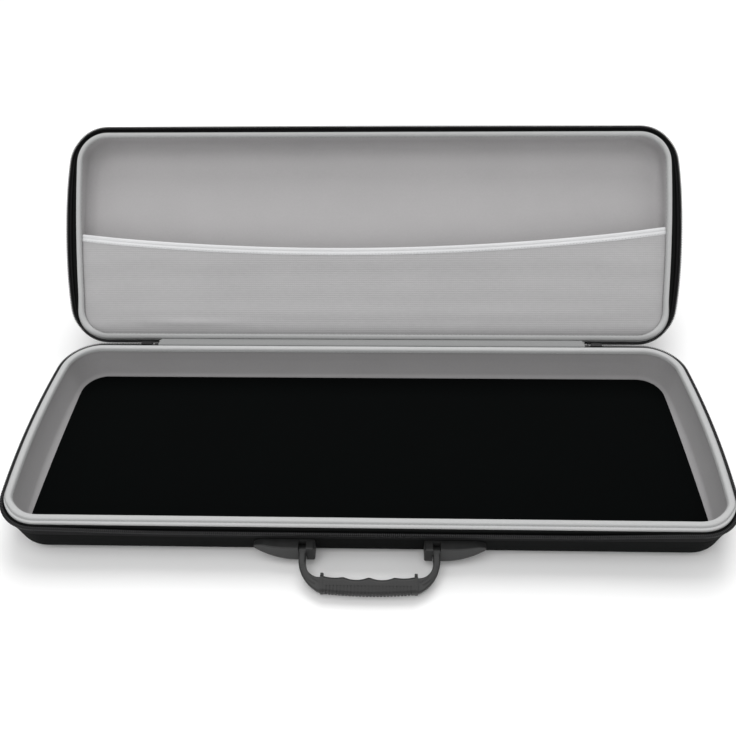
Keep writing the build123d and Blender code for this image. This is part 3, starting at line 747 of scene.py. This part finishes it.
@dataclass(frozen=True)
class Half:
    """Everything soft on one half of the case, modelled in that half's local frame.

    The last seven fields are how far its soft rim gives way from the moulded one: the zip's loose edge on
    the far side and the short sides, its droop, and the binding's shift, narrowing and leans.
    """

    name: str
    height: float
    matrix: Matrix
    tilt: float
    lining_finish: ClothFinish = LINING_CLOTH
    lining_cut: tuple[float, float, float] = (0.684, 0.270, 0.178)
    binding_finish: ClothFinish = BINDING_CLOTH
    lining_inset: float = 8.9 * MM
    lining_depth: float = 0.6 * MM
    floor_above: float = 4.9 * MM
    straight_lip: float = 18.0 * MM
    wall_taper: float = math.radians(8.0)
    inner_radius: float = 9.1 * MM
    tooth_pitch: float = 1.7 * MM
    coil_depth: float = 2.9 * MM
    stitch_pitch: float = 4.4 * MM
    floor_step: float = 14.0 * MM
    ripple: float = 0.25 * MM
    far_swell: float = 0.0
    side_swell: float = 0.0
    far_droop: float = 0.0
    rim_shift: float = 0.0
    rim_narrow: float = 0.0
    side_lean: float = 0.0
    front_lean: float = 0.0

    def wall_profile(self) -> list[Point2]:
        """Inset and depth of each ring of the lining, from under the binding to the floor's edge."""
        slope = math.tan(self.wall_taper)
        floor = self.height - self.floor_above
        centre_depth = floor - self.inner_radius
        centre_inset = (
            self.lining_inset
            + (centre_depth - self.straight_lip) * slope
            + self.inner_radius / math.cos(self.wall_taper)
        )
        rings = [(self.lining_inset, depth * MM) for depth in (3.7, 7.0, 11.0, 15.0)]
        rings.append((self.lining_inset, self.straight_lip))
        steps = 8
        for step in range(steps + 1):
            turn = self.wall_taper + (math.pi / 2 - self.wall_taper) * step / steps
            rings.append(
                (
                    centre_inset - self.inner_radius * math.cos(turn),
                    centre_depth + self.inner_radius * math.sin(turn),
                )
            )
        return [ring for ring in rings if ring[1] <= floor + 1e-9]

    def tray(self, name: str, rings: Sequence[Point2]) -> Piece:
        """Open tray through rings of the plan, with a floor cut into a grid.

        Args:
            name: name of the new piece.
            rings: inset and depth of each ring, from the rim to the floor's edge.

        Returns:
            The tray as a single surface that faces its opening.
        """
        piece = PLAN.disc(name, *rings[0])
        down = 1.0 if piece.data.polygons[0].normal.z > 0 else -1.0
        Bench.edit(piece)
        for (inset, depth), (next_inset, next_depth) in zip(rings, rings[1:]):
            bpy.ops.mesh.inset(thickness=max(next_inset - inset, 1e-6), depth=down * (next_depth - depth))
        PLAN.cut_grid(piece, rings[-1][1], self.floor_step)
        bpy.ops.mesh.select_all(action="SELECT")
        if down > 0:
            bpy.ops.mesh.flip_normals()
        bpy.ops.object.mode_set(mode="OBJECT")
        return piece

    def lining(self) -> Piece:
        """Knitted lining, laid into the formed shell, with faint ripples where it was pulled into shape."""
        piece = self.tray(f"{self.name}_lining_cloth", self.wall_profile())
        floor = self.height - self.floor_above
        for vertex in piece.data.vertices:
            x, y, z = vertex.co
            deep = min(max((z - 6 * MM) / (floor - 6 * MM), 0.0), 1.0)
            wave = noise.noise(Vector((x / 0.05, y / 0.04, z / 0.03))) + 1.0
            fine = noise.noise(Vector((x / 0.011, y / 0.011, z / 0.02))) + 1.0
            lift = (0.7 * wave + 0.3 * fine) * self.ripple * deep
            shift = Vector((0.0, 0.0, -lift if z > self.straight_lip else 0.0))
            if z < floor - self.inner_radius:
                shift += Vector((-x * 0.25, -y, 0.0)).normalized() * lift
            vertex.co += shift
        self.lean(piece)
        Bench.solidify(piece, self.lining_depth)
        self.add(piece, self.lining_finish.material(self.tilt), "lining", [f"{self.name}_lining"])
        return piece

    def binding(self) -> Piece:
        """Piped binding folded over the rim, puckered a little by its stitching."""
        section = [
            (-3.2, 5.0), (-3.0, 4.2), (-3.05, 3.0), (-3.2, 2.1), (-3.45, 1.45), (-3.72, 1.25), (-3.9, 1.7),
            (-4.05, 2.5), (-4.2, 1.7), (-4.45, 0.65), (-5.3, 0.22), (-6.3, 0.17), (-7.3, 0.2), (-8.3, 0.45),
            (-9.1, 1.1), (-9.55, 2.2), (-9.6, 3.4), (-9.58, 4.9), (-9.2, 5.1), (-8.95, 4.9), (-8.95, 3.5),
            (-4.05, 3.5), (-4.05, 4.9), (-3.6, 5.1),
        ]
        piece = Bench.sweep(f"{self.name}_rim_binding", PLAN.outline(0.0), section, True)
        for vertex in piece.data.vertices:
            x, y, z = vertex.co
            pucker = noise.noise(Vector((x / 0.006, y / 0.006, z / 0.02)))
            swell = noise.noise(Vector((x / 0.05, y / 0.05, 0.0)))
            if z < 2.9 * MM:
                vertex.co.z += (0.10 + 0.10 * pucker + 0.10 * swell) * MM
        self.lean(piece)
        material = self.binding_finish.material(self.tilt)
        return self.add(piece, material, "binding", [f"{self.name}_binding"], 50.0)

    def binding_stitches(self, side: str, inset: float, depth: float) -> Piece:
        """Row of stitches through a leg of the binding.

        Args:
            side: word for the leg, in the piece's name.
            inset: inset of the row, in metres.
            depth: depth of the row, in metres.

        Returns:
            The finished row.
        """
        points = [(x, y, depth) for x, y in PLAN.outline(inset)]
        unit = Bench.stitch(self.stitch_pitch * 0.72, 0.5 * MM)
        name = f"{self.name}_binding_stitches_{side}"
        piece = Bench.repeat(name, unit, points, self.stitch_pitch, True)
        self.lean(piece)
        return self.add(piece, THREAD_LIGHT.material(), "binding")

    def lean(self, piece: Piece) -> None:
        """Let the soft rim lean in over the opening, most in the middle of the sides, and less with depth."""
        fade_depths, fade_insets = (8.0 * MM, 24.0 * MM), (14.0 * MM, 60.0 * MM)
        bow_middle, bow_reach = 12.0 * MM, 88.0 * MM
        side_from = PLAN.corner_x - 20.0 * MM
        for vertex in piece.data.vertices:
            x, y, z = vertex.co
            inset, inward = PLAN.inset_at(x, y)
            fade = (1 - ease(z, *fade_depths)) * (1 - ease(inset, *fade_insets))
            inward.x *= 1 - ease(y, 60.0 * MM, 104.0 * MM)
            inward.y *= 1 - ease(y, 0.0, PLAN.corner_y)
            outer_leg = 1 - ease(inset, 3.6 * MM, 6.0 * MM)
            shift = inward * (self.rim_shift * fade + self.rim_narrow * outer_leg)
            if abs(x) > side_from:
                bow = max(0.0, 1 - ((y - bow_middle) / bow_reach) ** 2)
                shift.x -= math.copysign(self.side_lean * bow * fade, x)
            front = ease(-y, PLAN.corner_y, PLAN.corner_y + 0.6 * PLAN.corner_radius)
            fold = 0.5 + 0.5 * ease(inset, 3.3 * MM, 4.3 * MM)
            shift.y += self.front_lean * fold * front * fade
            vertex.co += shift

    def loosen(self, piece: Piece) -> None:
        """Let the loose edge of the zip stand out from the wall and droop, away from the hinge."""
        for vertex in piece.data.vertices:
            loose = min(max((9.5 * MM - vertex.co.z) / (4.5 * MM), 0.0), 1.0)
            stretch = 1 - 0.72 * min(max((vertex.co.z - 4.5 * MM) / (10.5 * MM), 0.0), 1.0)
            droop = Vector((0.0, 0.0, self.far_droop * PLAN.front_share(vertex.co) * stretch))
            vertex.co += PLAN.swell(vertex.co, self.far_swell, self.side_swell) * loose + droop

    def add(
        self, piece: Piece, material: bpy.types.Material, slot: str, stands_for: Iterable[str] = (),
        smooth_angle: float = 40.0,
    ) -> Piece:
        """Dress a piece modelled in this half's frame, move it into the row frame and hand it over.

        Args:
            piece: the piece.
            material: what it wears.
            slot: passed on to Bench.hand_over, which does not use it.
            stands_for: CAD nodes that it replaces.
            smooth_angle: angle up to which it is shaded smooth, in degrees.

        Returns:
            The same piece.
        """
        Bench.wear(piece, material)
        Bench.place(piece, self.matrix)
        return Bench.hand_over(piece, self.name, slot, stands_for, smooth_angle)

    def zipper_tape(self) -> Piece:
        """Woven tape on the outside of the wall, flared out under its teeth."""
        section = [
            (-4.0, 5.2), (-4.0, 15.0), (-3.35, 15.0), (-3.2, 14.6), (-3.2, 7.6), (-2.6, 6.4), (-1.2, 5.4),
            (-1.0, 4.7), (-1.3, 4.5), (-2.2, 4.5), (-2.85, 5.0),
        ]
        piece = Bench.sweep(f"{self.name}_woven_zip_tape", PLAN.zip_run(0.0), section)
        self.loosen(piece)
        return self.add(piece, TAPE_CLOTH.material(self.tilt), "tape", [f"{self.name}_zipper_tape"])

    def tape_stitches(self) -> Piece:
        """Row of stitches that holds the tape to the wall."""
        points = [(x, y, 12.4 * MM) for x, y in PLAN.zip_run(3.15 * MM)]
        unit = Bench.stitch(2.3 * MM, 0.45 * MM)
        piece = Bench.repeat(f"{self.name}_tape_stitches", unit, points, 3.2 * MM)
        self.loosen(piece)
        return self.add(piece, THREAD_DARK.material(), "tape")

    def zipper_teeth(self) -> Piece:
        """Row of moulded teeth on a core cord, round the whole run of the zip."""
        bpy.ops.mesh.primitive_cube_add(size=1.0)
        unit = Bench.named("tooth")
        for vertex in unit.data.vertices:
            vertex.co.x *= 1.05 * MM
            vertex.co.y *= 2.8 * MM
            vertex.co.z *= (2.7 if vertex.co.y < 0 else 2.2) * MM
        rounding = unit.modifiers.new("rounding", "BEVEL")
        rounding.width = 0.38 * MM
        rounding.segments = 2
        Bench.apply(unit)
        points = [(x, y, self.coil_depth) for x, y in PLAN.zip_run(1.45 * MM)]
        piece = Bench.repeat(f"{self.name}_zip_teeth", unit, points, self.tooth_pitch)
        self.loosen(piece)
        return self.add(piece, COIL_PLASTIC.material(), "coil", [f"{self.name}_zipper_coil"])

    def zipper_core(self) -> Piece:
        """Cord that the teeth are woven on."""
        radius, sides = 0.85, 10
        turns = [2 * math.pi * step / sides for step in range(sides)]
        section = [(-1.75 + radius * math.cos(turn), 2.9 + radius * math.sin(turn)) for turn in turns]
        piece = Bench.sweep(f"{self.name}_zip_core", PLAN.zip_run(0.0), section)
        self.loosen(piece)
        return self.add(piece, TAPE_CLOTH.material(self.tilt), "coil")

    def build(self) -> None:
        """Make every soft piece of this half."""
        self.lining()
        self.binding()
        self.binding_stitches("inner", 9.62 * MM, 4.2 * MM)
        self.binding_stitches("outer", 4.05 * MM, 2.3 * MM)
        self.zipper_tape()
        self.tape_stitches()
        self.zipper_core()
        self.zipper_teeth()
        Bench.wear(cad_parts[f"{self.name}_shell"], SHELL_CLOTH.material(self.tilt))


# Lid pocket


@dataclass
class Pocket:
    """Stretch panel over the hinge side of the lid, with an elastic along its mouth."""

    half: Half
    depth: float = 7.0 * MM
    thickness: float = 0.8 * MM
    seam_inset: float = 9.3 * MM
    mouth_middle: float = 12.25 * MM
    mouth_lean: float = -4.25 * MM
    mouth_dip: float = 19.0 * MM
    band_width: float = 8.0 * MM
    band_depth: float = 7.4 * MM
    columns: int = 130
    rows: int = 44
    sag: float = 1.2 * MM
    band_steps: int = 120

    def mouth(self, x: float) -> float:
        """Y of the mouth's free edge at a distance from the middle."""
        share = x / (PLAN.width / 2)
        return self.mouth_middle + self.mouth_lean * share - self.mouth_dip * share * share

    def _along_mouth(self, reach: float, below: float, depth: float) -> list[Point3]:
        """Points from one side to the other, at a distance below the mouth's free edge."""
        steps = self.band_steps
        across = [-reach + 2 * reach * step / steps for step in range(steps + 1)]
        return [(x, self.mouth(x) + below, depth) for x in across]

    def panel(self) -> Piece:
        """Knitted panel, pulled tight between its seams, hollow in the middle, creased at its lower left."""
        bpy.ops.mesh.primitive_grid_add(x_subdivisions=self.columns, y_subdivisions=self.rows, size=2.0)
        piece = Bench.named("lid_pocket_cloth")
        top = PLAN.half_depth - self.seam_inset
        for vertex in piece.data.vertices:
            across, along = vertex.co.x, (vertex.co.y + 1) / 2
            x = across * PLAN.half_width(0.0, self.seam_inset)
            for _ in range(4):
                start = self.mouth(x) + self.band_width * 0.6
                y = start + (top - start) * along
                x = across * PLAN.half_width(y, self.seam_inset)
            slack = math.sin(math.pi * min(along, 1.0)) * (1 - across**6)
            wave = noise.noise(Vector((x / 0.09, y / 0.03, 0.3)))
            crease = bell(x, -0.19, 0.06) * bell(y, 0.0925, 0.0045)
            ridge = bell(y, 0.083, 0.012) * (1 - across**6)
            depth = self.depth + (self.sag * 0.5 + 0.5 * MM * wave) * slack
            depth -= (2.2 * MM * crease + 1.3 * MM * ridge) * (1 - along**8)
            vertex.co = (x, y, depth)
        self.half.lean(piece)
        piece.data.update()
        if piece.data.polygons[0].normal.z > 0:
            piece.data.flip_normals()
        Bench.solidify(piece, self.thickness)
        return self.half.add(piece, POCKET_CLOTH.material(self.half.tilt), "pocket_knit", ["pocket_panel"])

    def band(self) -> Piece:
        """Folded elastic along the mouth, with a groove down its middle."""
        reach = PLAN.half_width(0.0, self.seam_inset)
        points = self._along_mouth(reach, self.band_width / 2, self.band_depth)
        section = [
            (-4.0, 0.0), (-3.8, -0.6), (-3.2, -0.9), (-1.6, -0.95), (-0.5, -0.85), (0.0, -0.6), (0.5, -0.85),
            (1.6, -0.95), (3.2, -0.9), (3.8, -0.6), (4.0, 0.0), (3.6, 0.75), (0.0, 0.85), (-3.6, 0.75),
        ]
        piece = Bench.sweep("lid_pocket_elastic", points, section)
        self.half.lean(piece)
        return self.half.add(
            piece, ELASTIC_CLOTH.material(self.half.tilt), "elastic", ["pocket_elastic"], 60.0
        )

    def band_stitches(self) -> Piece:
        """Row of stitches along the lower edge of the elastic."""
        reach = PLAN.half_width(0.0, self.seam_inset) - 4 * MM
        points = self._along_mouth(reach, self.band_width * 0.82, self.band_depth - 0.9 * MM)
        unit = Bench.stitch(2.4 * MM, 0.4 * MM)
        piece = Bench.repeat("lid_elastic_stitches", unit, points, 3.4 * MM)
        self.half.lean(piece)
        return self.half.add(piece, THREAD_LIGHT.material(), "elastic")

    def build(self) -> None:
        """Make the pocket."""
        self.panel()
        self.band()
        self.band_stitches()


# Foam pad


@dataclass
class FoamPad:
    """Flat foam pad in a short-pile cover, lying on the lined floor of the base."""

    half: Half
    thickness: float = 5.0 * MM
    top_inset: float = 14.4 * MM
    crown: float = 0.7 * MM
    straighten: float = 0.75

    def build(self) -> Piece:
        """Make the pad: rolled edges, a slight crown and the unevenness of foam."""
        floor = self.half.height - self.half.floor_above
        top = floor - self.thickness
        rings = [
            (self.top_inset + 5.0 * MM, floor - 0.15 * MM),
            (self.top_inset + 1.4 * MM, floor - 1.2 * MM),
            (self.top_inset + 0.2 * MM, floor - 2.6 * MM),
            (self.top_inset, floor - 3.6 * MM),
            (self.top_inset + 0.5 * MM, floor - 4.5 * MM),
            (self.top_inset + 1.6 * MM, top),
        ]
        piece = self._slab(rings)
        for vertex in piece.data.vertices:
            x, y, z = vertex.co
            bow = PLAN.half_width(y, self.top_inset) - PLAN.half_width(PLAN.corner_y, self.top_inset)
            share = min(max((abs(x) - 0.2) / 0.09, 0.0), 1.0)
            vertex.co.x -= math.copysign(max(bow, 0.0) * self.straighten * share, x)
            if z < top + 1.2 * MM:
                rim = PLAN.half_width(y, self.top_inset) - abs(x)
                edge = min(rim, PLAN.half_depth - self.top_inset - abs(y))
                rise = 1 - math.exp(-max(edge, 0.0) / (18 * MM))
                wave = noise.noise(Vector((x / 0.07, y / 0.05, 0.0)))
                vertex.co.z -= (self.crown + 0.25 * MM * wave) * rise
        self.half.add(piece, PAD_CLOTH.material(), "pad_foam", ["foam_pad"], 60.0)
        return piece

    def _slab(self, rings: Sequence[Point2]) -> Piece:
        """Closed slab through rings of the plan, from the bottom's edge to the top's edge."""
        piece = PLAN.disc("base_floor_pad", *rings[0])
        Bench.edit(piece)
        for (last_inset, _), (inset, depth) in zip(rings, rings[1:]):
            bpy.ops.mesh.extrude_region_move()
            mesh = bmesh.from_edit_mesh(piece.data)
            before, target = PLAN.outline(last_inset), PLAN.outline(inset)
            finder = KDTree(len(before))
            for index, point in enumerate(before):
                finder.insert((*point, 0.0), index)
            finder.balance()
            for vertex in [vertex for vertex in mesh.verts if vertex.select]:
                index = finder.find((vertex.co.x, vertex.co.y, 0.0))[1]
                vertex.co = (*target[index], depth)
            bmesh.update_edit_mesh(piece.data)
        PLAN.cut_grid(piece, rings[-1][1], self.half.floor_step)
        bpy.ops.object.mode_set(mode="OBJECT")
        Bench.outward(piece)
        return piece


# Hinge cloth


@dataclass
class HingeStrip:
    """Strip of cloth that runs along the back from one half to the other and bends on the hinge line."""

    name: str
    line: list[Vector]
    bend: tuple[int, int]
    finish: ClothFinish
    slot: str
    stands_for: tuple[str, ...] = ()
    half_length: float = 218.0 * MM
    thickness: float = 1.1 * MM
    slack: float = 0.5 * MM
    columns: int = 120

    def build(self) -> Piece:
        """Make the strip, shaped round the hinge line between the two bodies."""
        rows = len(self.line) - 1
        bpy.ops.mesh.primitive_grid_add(x_subdivisions=self.columns, y_subdivisions=rows, size=2.0)
        piece = Bench.named(self.name)
        for vertex in piece.data.vertices:
            row = round((vertex.co.y + 1) / 2 * rows)
            x = vertex.co.x * self.half_length
            middle = 1 - abs(2 * row / rows - 1)
            wave = noise.noise(Vector((x / 0.02, row * 0.35, 0.0)))
            vertex.co = self.line[row] + Vector((x, self.slack * wave * middle, 0.0))
        piece.data.update()
        thick = piece.modifiers.new("thickness", "SOLIDIFY")
        thick.thickness = self.thickness
        thick.offset = 0.0
        soft = piece.modifiers.new("soft", "SUBSURF")
        soft.levels = soft.render_levels = 1
        Bench.apply(piece)
        Bench.outward(piece)
        Bench.wear(piece, self.finish.material())
        Bench.hand_over(piece, "", self.slot, self.stands_for, 60.0)
        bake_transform(piece)
        return piece


@dataclass(frozen=True)
class Hinge:
    """Both layers of the soft hinge: shell cloth outside, a strip of binding cloth, darkened as painted
    shade, inside.
    """

    base: Half
    lid: Half
    line: Vector

    def outer_line(self) -> list[Vector]:
        """Middle line of the outer strip, from the base's wall round the hinge line to the lid's wall."""
        base_side = [(3.45, 23.8), (3.42, 18.0), (3.38, 13.4), (1.4, 10.9), (-0.6, 8.6), (-1.15, 6.9)]
        lid_side = [
            (-1.15, -3.4), (-1.15, 0.0), (-0.9, 3.2), (1.2, 8.6), (3.38, 13.4), (3.42, 18.0), (3.45, 23.8),
        ]
        return [*self._rows(self.base, base_side), self.line, *self._rows(self.lid, lid_side)]

    def inner_line(self) -> list[Vector]:
        """Middle line of the inner strip, from behind one binding to behind the other."""
        rows = [
            (110.0, 44.6), (110.8, 45.4), (112.6, 45.3), (115.4, 44.2),
            (118.3, 43.0), (121.0, 42.0), (122.8, 41.6), (123.5, 41.0),
        ]
        return [Vector((0.0, y * MM, z * MM)) for y, z in rows]

    @staticmethod
    def _rows(half: Half, points: Sequence[Point2]) -> list[Vector]:
        """Points of a half's back wall, given by inset and depth in millimetres, in the row frame."""
        local = [Vector((0.0, PLAN.half_depth - inset * MM, depth * MM)) for inset, depth in points]
        return [half.matrix @ point for point in local]

    def build(self) -> None:
        """Make both strips."""
        HingeStrip(
            "hinge_strip_cloth", self.outer_line(), (4, 9), SHELL_CLOTH, "shell_fabric",
            ("hinge_cloth_base", "hinge_cloth_lid"),
        ).build()
        # the inner strip wears binding cloth darkened as painted shade
        HingeStrip(
            "hinge_inner_strip", self.inner_line(), (1, 6), SHADED_SEAM_CLOTH, "binding",
            half_length=221.0 * MM, thickness=0.7 * MM, slack=0.2 * MM,
        ).build()


# Hard parts that come over from the CAD


@dataclass(frozen=True)
class Hardware:
    """Finishes of the CAD nodes that stay as they are."""

    def build(self) -> None:
        """Dress each node."""
        finishes = {
            ARCH_PLASTIC: ["handle_arch"],
            GRIP_PLASTIC: ["handle_grip"],
            BRACKET_PLASTIC: ["handle_bracket_left", "handle_bracket_right"],
            ZINC_PLATE: [
                "handle_pin_left", "handle_pin_right", "backing_plate_left", "backing_plate_right",
                "bracket_screws",
            ],
            SLIDER_METAL: [
                "zipper_end_stops", "zipper_slider_left", "zipper_slider_right", "zipper_pull_left",
                "zipper_pull_right",
            ],
        }
        for finish, names in finishes.items():
            material = finish.material()
            for name in names:
                Bench.wear(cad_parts[name], material)
                log.info("%s wears %s", name, finish.name)


# Studio


@dataclass(frozen=True)
class SoftBox:
    """Square lamp: where it stands, what it points at, its edge in metres and its power in watts."""

    name: str
    place: Point3
    aim: Point3
    size: float
    power: float

    def build(self) -> None:
        """Add the lamp."""
        data = bpy.data.lights.new(self.name, "AREA")
        data.shape = "SQUARE"
        data.size = self.size
        data.energy = self.power
        lamp = bpy.data.objects.new(self.name, data)
        lamp.location = self.place
        lamp.rotation_euler = (Vector(self.aim) - Vector(self.place)).to_track_quat("-Z", "Y").to_euler()
        bpy.context.scene.collection.objects.link(lamp)


@dataclass(frozen=True)
class Studio:
    """Pale floor, soft light and the camera of the photograph."""

    focal_pixels: float = 744.03
    picture: float = 736.0
    sensor: float = 36.0
    pitch: float = 0.787
    yaw: float = -0.0383
    roll: float = -0.02136
    eye: Point3 = (18.93 * MM, -450.46 * MM, 572.59 * MM)
    centre_drop: float = 2.0
    air_strength: float = 0.52
    lamps: tuple[SoftBox, ...] = (
        SoftBox("key_box", (-0.25, -0.7, 2.0), (0.0, 0.05, 0.0), 1.4, 17.0),
        SoftBox("top_box", (0.1, 1.1, 2.0), (0.0, 0.0, 0.0), 1.5, 32.0),
        SoftBox("fill_box", (0.0, -2.0, 0.4), (0.0, 0.25, 0.15), 1.6, 7.0),
    )

    def camera(self) -> None:
        """Set the camera where the photograph was taken from."""
        data = bpy.data.cameras.new("view_from_front")
        data.lens = self.focal_pixels / self.picture * self.sensor
        data.sensor_width = self.sensor
        data.shift_y = self.centre_drop / self.picture
        data.clip_start = 0.01
        data.clip_end = 50.0
        right = Vector((math.cos(self.yaw), -math.sin(self.yaw), 0.0))
        ahead = Vector((math.sin(self.yaw), math.cos(self.yaw), 0.0))
        up = ahead * math.sin(self.pitch) + Vector((0.0, 0.0, math.cos(self.pitch)))
        look = ahead * math.cos(self.pitch) - Vector((0.0, 0.0, math.sin(self.pitch)))
        turned_right = right * math.cos(self.roll) + up * math.sin(self.roll)
        turned_up = up * math.cos(self.roll) - right * math.sin(self.roll)
        camera = bpy.data.objects.new("view_from_front", data)
        columns = Matrix((turned_right, turned_up, -look)).transposed()
        camera.matrix_world = Matrix.Translation(self.eye) @ columns.to_4x4()
        bpy.context.scene.collection.objects.link(camera)
        bpy.context.scene.camera = camera

    def floor(self) -> None:
        """White table that runs out of the picture on all sides."""
        bpy.ops.mesh.primitive_plane_add(size=16.0, location=(0.0, 0.0, -0.05 * MM))
        floor = Bench.named("studio_floor")
        graph = Graph("studio_white")
        graph.shader.inputs["Base Color"].default_value = (0.93, 0.93, 0.93, 1.0)
        graph.shader.inputs["Roughness"].default_value = 0.9
        Bench.wear(floor, graph.material)

    def build(self) -> None:
        """Set up the whole studio."""
        self.camera()
        self.floor()
        world = bpy.data.worlds.new("studio_air")
        world.use_nodes = True
        world.node_tree.nodes["Background"].inputs["Color"].default_value = (1.0, 1.0, 1.0, 1.0)
        world.node_tree.nodes["Background"].inputs["Strength"].default_value = self.air_strength
        bpy.context.scene.world = world
        bpy.context.scene.view_settings.view_transform = "Standard"
        for lamp in self.lamps:
            lamp.build()


def base_frame() -> Matrix:
    """Turn the base's local frame over, so that its opening faces up in the row frame."""
    return Matrix(((-1, 0, 0, 0), (0, 1, 0, 0), (0, 0, -1, BASE_HEIGHT), (0, 0, 0, 1)))


def lid_frame() -> Matrix:
    """Turn the lid's local frame about the hinge line by the angle at which it stands open."""
    sine, cosine = math.sin(OPEN_ANGLE), math.cos(OPEN_ANGLE)
    y = HINGE_Y - HINGE_Y * cosine + HINGE_BELOW_RIM * sine
    z = HINGE_Z + HINGE_Y * sine + HINGE_BELOW_RIM * cosine
    return Matrix(((1, 0, 0, 0), (0, cosine, sine, y), (0, -sine, cosine, z), (0, 0, 0, 1)))


def main() -> None:
    """Build the case's looks piece by piece."""
    Bench.clear()
    base = Half("base", BASE_HEIGHT, base_frame(), 0.0, far_droop=4.0 * MM, front_lean=5.1 * MM)
    lid = Half(
        "lid",
        LID_HEIGHT,
        lid_frame(),
        math.pi - OPEN_ANGLE,
        LIGHTENED_LID_LINING_CLOTH,
        (0.665, 0.251, 0.163),
        LID_BINDING_CLOTH,
        far_swell=0.6 * MM,
        side_swell=-2.6 * MM,
        rim_shift=1.5 * MM,
        rim_narrow=1.5 * MM,
        side_lean=2.2 * MM,
    )
    base.build()
    lid.build()
    Pocket(lid).build()
    FoamPad(base).build()
    Hinge(base, lid, Vector((0.0, HINGE_Y, HINGE_Z))).build()
    Hardware().build()
    Studio().build()
    Bench.clear()


if __name__ == "__main__":
    logging.basicConfig(level=logging.INFO, format="%(message)s")
    main()
